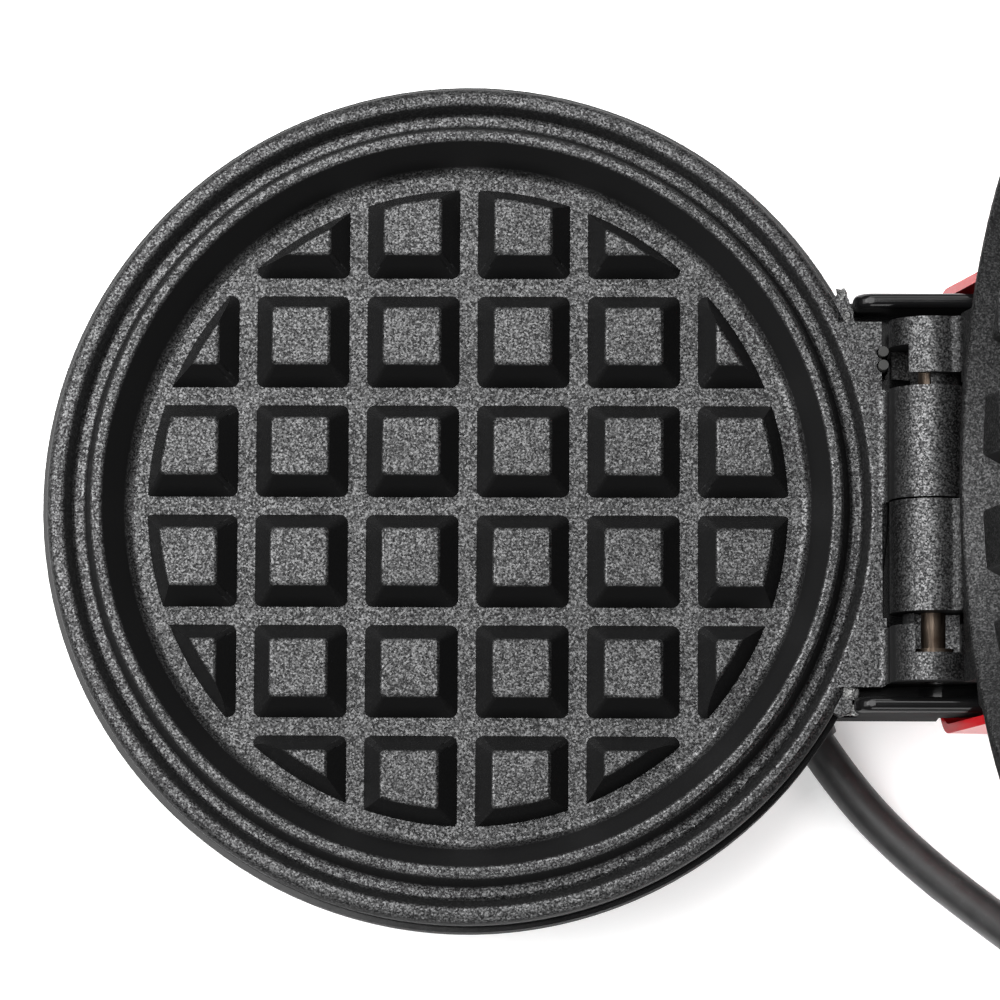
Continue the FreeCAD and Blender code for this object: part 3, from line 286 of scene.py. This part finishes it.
def make_materials():
    """Each of the record's material slots, as a finished material."""
    return {
        "nonstick": nonstick("nonstick_lower", (0.0, 0.0, 1.0)),
        "nonstick_lid": nonstick(
            "nonstick_upper", (-math.sin(OPEN_RAD), 0.0, -math.cos(OPEN_RAD))
        ),
        "black_gloss": glossy_plastic("black_housing", (0.0035, 0.0035, 0.0037), 0.12, 0.9, 0.2),
        "black_matte": matte_plastic("black_moulding", (0.012, 0.012, 0.0125)),
        "red_gloss": glossy_plastic("red_lid", (0.4, 0.005, 0.009), 0.17, 0.3, 0.4),
        "foot_rubber": soft_rubber("foot_rubber", (0.05, 0.05, 0.052), 0.7),
        "heater_sheath": bare_metal("heater_sheath", (0.16, 0.15, 0.14), 0.5, (0.08, 0.06, 0.05), 0.6),
        "terminal_steel": bare_metal("terminal_steel", (0.6, 0.58, 0.54), 0.35),
        "pressed_steel": bare_metal("pressed_steel", (0.55, 0.55, 0.56), 0.38),
        "shield_aluminium": bare_metal("shield_aluminium", (0.78, 0.79, 0.8), 0.3),
        "thermostat_body": matte_plastic("phenolic_brown", (0.08, 0.045, 0.03), 0.5),
        "zinc_screw": bare_metal("zinc_screw", (0.62, 0.62, 0.64), 0.32),
        "pin_steel": bare_metal("pin_steel", (0.085, 0.066, 0.052), 0.5, (0.03, 0.018, 0.012), 0.85),
        "sleeve_black": soft_rubber("varnished_sleeve", (0.035, 0.035, 0.034), 0.6, 0.15),
        "cord_black": soft_rubber("cord_black", (0.009, 0.009, 0.0093), 0.42),
        "tie_black": matte_plastic("tie_black", (0.02, 0.02, 0.02), 0.5),
        "blade_brass": bare_metal("blade_brass", (0.75, 0.6, 0.33), 0.25, (0.4, 0.27, 0.12), 0.4),
        "lead_white": braid("lead_braid", (0.7, 0.68, 0.62)),
        "lens_red": clear_lens("lens_red", (0.7, 0.02, 0.015)),
        "lens_green": clear_lens("lens_green", (0.04, 0.55, 0.12)),
        "board_brown": matte_plastic("phenolic_card", (0.25, 0.14, 0.06), 0.6),
        "lamp_glass": clear_lens("lamp_glass", (0.95, 0.75, 0.6)),
        "torn_metal": bare_metal("torn_casting", (0.2, 0.2, 0.197), 0.55, (0.03, 0.029, 0.028), 0.85),
    }


def dress_cad(materials):
    """Every CAD node takes the finished material of its record slot."""
    slots = {row["node"]: row["material_slot"] for row in frame["record"]["subparts"]}
    slots["upper_plate"] = "nonstick_lid"
    for name, node in NODES.items():
        node.data.materials.clear()
        node.data.materials.append(materials[slots[name]])


# ---------------------------------------------------------------- the lead

CORD_R = 3.0 * MM
ROUTE = [
    Vector((52.1, -32.7, 4.0)) * MM,
    Vector((57.4, -40.6, 3.2)) * MM,
    Vector((67.6, -50.9, 3.02)) * MM,
    Vector((82.6, -62.3, 3.02)) * MM,
    Vector((97.25, -72.75, 3.02)) * MM,
    Vector((111.2, -81.5, 3.02)) * MM,
]
COIL_START_DEG = 240.0
COIL_END_DEG = 50.0
TURN_OUT_R = 36.0 * MM
TURN_IN_R = 30.0 * MM
LOW_Z = 3.02 * MM
HIGH_Z = 9.0 * MM
TURNS = 3 + ((COIL_END_DEG - COIL_START_DEG) % 360.0) / 360.0
POINTS_PER_TURN = 16
# Where along the turns the coil draws in, climbs onto the lower layer and widens again.
DRAW_IN = (0.80, 1.02)
CLIMB = (1.62, 1.86)
WIDEN = (2.62, 2.86)
# The tail from the top turn to the plug: onward, outward and up, in millimetres.
TAIL_STEPS = [(0.0, 0.0, 0.0), (9.0, 0.4, -0.6), (19.0, 2.2, -2.1), (28.0, 5.4, -2.5)]
COIL_CENTRE = ROUTE[-1] - Vector(
    (
        TURN_OUT_R * math.cos(math.radians(COIL_START_DEG)),
        TURN_OUT_R * math.sin(math.radians(COIL_START_DEG)),
        LOW_Z,
    )
)


def eased(value, start, end):
    """0 before start, 1 after end, and a smooth rise between them."""
    t = min(1.0, max(0.0, (value - start) / (end - start)))
    return t * t * (3 - 2 * t)


def coil_points():
    """The coil: a wide turn, a narrow turn inside it, then the same again on top, outwards."""
    points = []
    count = round(TURNS * POINTS_PER_TURN)
    for i in range(1, count):
        turn = TURNS * i / count
        inward = eased(turn, *DRAW_IN) - eased(turn, *WIDEN)
        radius = TURN_OUT_R + (TURN_IN_R - TURN_OUT_R) * inward
        z = LOW_Z + (HIGH_Z - LOW_Z) * eased(turn, *CLIMB)
        a = math.radians(COIL_START_DEG) + math.tau * turn
        points.append(COIL_CENTRE + Vector((radius * math.cos(a), radius * math.sin(a), z)))
    return points


def tail_points():
    """From the end of the top turn down to the plug."""
    a = math.radians(COIL_END_DEG)
    outward = Vector((math.cos(a), math.sin(a), 0.0))
    onward = Vector((-math.sin(a), math.cos(a), 0.0))
    start = COIL_CENTRE + outward * TURN_OUT_R + Vector((0, 0, HIGH_Z))
    return [start + (onward * s + outward * o + Vector((0, 0, z))) * MM for s, o, z in TAIL_STEPS]


def make_cord(materials):
    """The mains lead as one smooth line, from its strain relief through the coil to the plug."""
    points = ROUTE + coil_points() + tail_points()
    curve = bpy.data.curves.new("mains_lead", "CURVE")
    curve.dimensions = "3D"
    curve.bevel_depth = CORD_R
    curve.bevel_resolution = 8
    curve.use_fill_caps = True
    curve.resolution_u = 8
    line = curve.splines.new("NURBS")
    line.points.add(len(points) - 1)
    for slot, point in zip(line.points, points):
        slot.co = (*point, 1.0)
    line.order_u = 3
    line.use_endpoint_u = True
    cord = bpy.data.objects.new("mains_lead", curve)
    bpy.context.scene.collection.objects.link(cord)
    curve.materials.append(materials["cord_black"])
    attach(cord, "base")
    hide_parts("power_cord", "cord_coil", "cord_tail")


# ---------------------------------------------------------------- torn casting gates

# Where the gates were broken off the lower casting: place, half size and seed.
GATES = [
    ((55.2, 31.1, 31.9), (0.95, 1.1, 1.15), 3),
    ((55.8, 28.1, 32.1), (1.25, 1.35, 1.0), 11),
    ((56.1, -27.7, 32.1), (1.35, 1.35, 1.0), 23),
    ((56.7, -30.2, 31.5), (1.3, 0.9, 1.0), 31),
]
# A stub is between a ball and a block, a little under its half size before it is roughened.
GATE_SQUARENESS = 0.75
GATE_CORE = 0.85


def make_gates(material):
    """Ragged stubs of bare metal beside the flange's corners."""
    for index, (place, half, seed) in enumerate(GATES):
        mesh = bpy.data.meshes.new(f"gate_stub_{index + 1}")
        form = bmesh.new()
        bmesh.ops.create_icosphere(form, subdivisions=5, radius=1.0)
        for vertex in form.verts:
            point = vertex.co.copy()
            square = Vector(tuple(math.copysign(abs(c) ** GATE_SQUARENESS, c) for c in point))
            rough = noise.noise(point * 1.6 + Vector((seed, 0, 0))) * 0.42
            rough += noise.noise(point * 4.5 + Vector((0, seed, 0))) * 0.2
            rough += noise.noise(point * 13.0 + Vector((0, 0, seed))) * 0.07
            grown = square * (GATE_CORE + rough)
            vertex.co = Vector(tuple(p + g * h for p, g, h in zip(place, grown, half))) * MM
        form.to_mesh(mesh)
        form.free()
        mesh.materials.append(material)
        stub = bpy.data.objects.new(mesh.name, mesh)
        bpy.context.scene.collection.objects.link(stub)
        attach(stub, "base")


# ---------------------------------------------------------------- set


FLOOR_HALF = 3.0
FLOOR_GLOW = 0.25
SURROUND = 0.15
SIDE_BOX_SIZE = (0.9, 0.7)
SIDE_BOX_HEIGHT = 0.95
# The side lights: name, place on the plan and power.
SIDE_BOXES = (
    ("left_box", -1.1, 0.1, 8.0),
    ("right_box", 1.15, 0.1, 12.0),
    ("back_box", 0.0, 1.2, 9.0),
    ("front_box", 0.1, -1.2, 11.0),
)


def make_stage():
    """A plain white floor."""
    mesh = bpy.data.meshes.new("floor")
    half = FLOOR_HALF
    corners = [(-half, -half, 0), (half, -half, 0), (half, half, 0), (-half, half, 0)]
    mesh.from_pydata(corners, [], [(0, 1, 2, 3)])
    floor = bpy.data.objects.new("floor", mesh)
    bpy.context.scene.collection.objects.link(floor)
    paper = Recipe("paper", (0.93, 0.93, 0.93), 0.9, Specular_IOR_Level=0.1)
    paper.set("Emission Color", (1.0, 1.0, 1.0, 1.0))
    paper.set("Emission Strength", FLOOR_GLOW)
    mesh.materials.append(paper.material)


def area_light(name, at, target, size, power):
    """A rectangular soft light at a point, facing another."""
    data = bpy.data.lights.new(name, "AREA")
    data.shape = "RECTANGLE"
    data.size = size[0]
    data.size_y = size[1]
    data.energy = power
    light = bpy.data.objects.new(name, data)
    light.location = at
    light.rotation_euler = (Vector(target) - Vector(at)).to_track_quat("-Z", "Y").to_euler()
    bpy.context.scene.collection.objects.link(light)


def make_lights():
    """Studio light: a wide soft box above and to the left, four weaker ones and a pale surround."""
    area_light("soft_box", (-0.5, 0.36, 1.38), (0.0, 0.0, 0.0), (1.25, 1.2), 38.0)
    for name, x, y, power in SIDE_BOXES:
        area_light(name, (x, y, SIDE_BOX_HEIGHT), (0.0, 0.0, 0.02), SIDE_BOX_SIZE, power)
    world = bpy.data.worlds.new("surround")
    world.use_nodes = True
    back = world.node_tree.nodes["Background"]
    back.inputs["Color"].default_value = (1.0, 1.0, 1.0, 1.0)
    back.inputs["Strength"].default_value = SURROUND
    bpy.context.scene.world = world
    bpy.context.scene.view_settings.view_transform = "Standard"


# ---------------------------------------------------------------- making

make_camera()
MATERIALS = make_materials()
make_cord(MATERIALS)
make_gates(MATERIALS["torn_metal"])
dress_cad(MATERIALS)
make_stage()
make_lights()
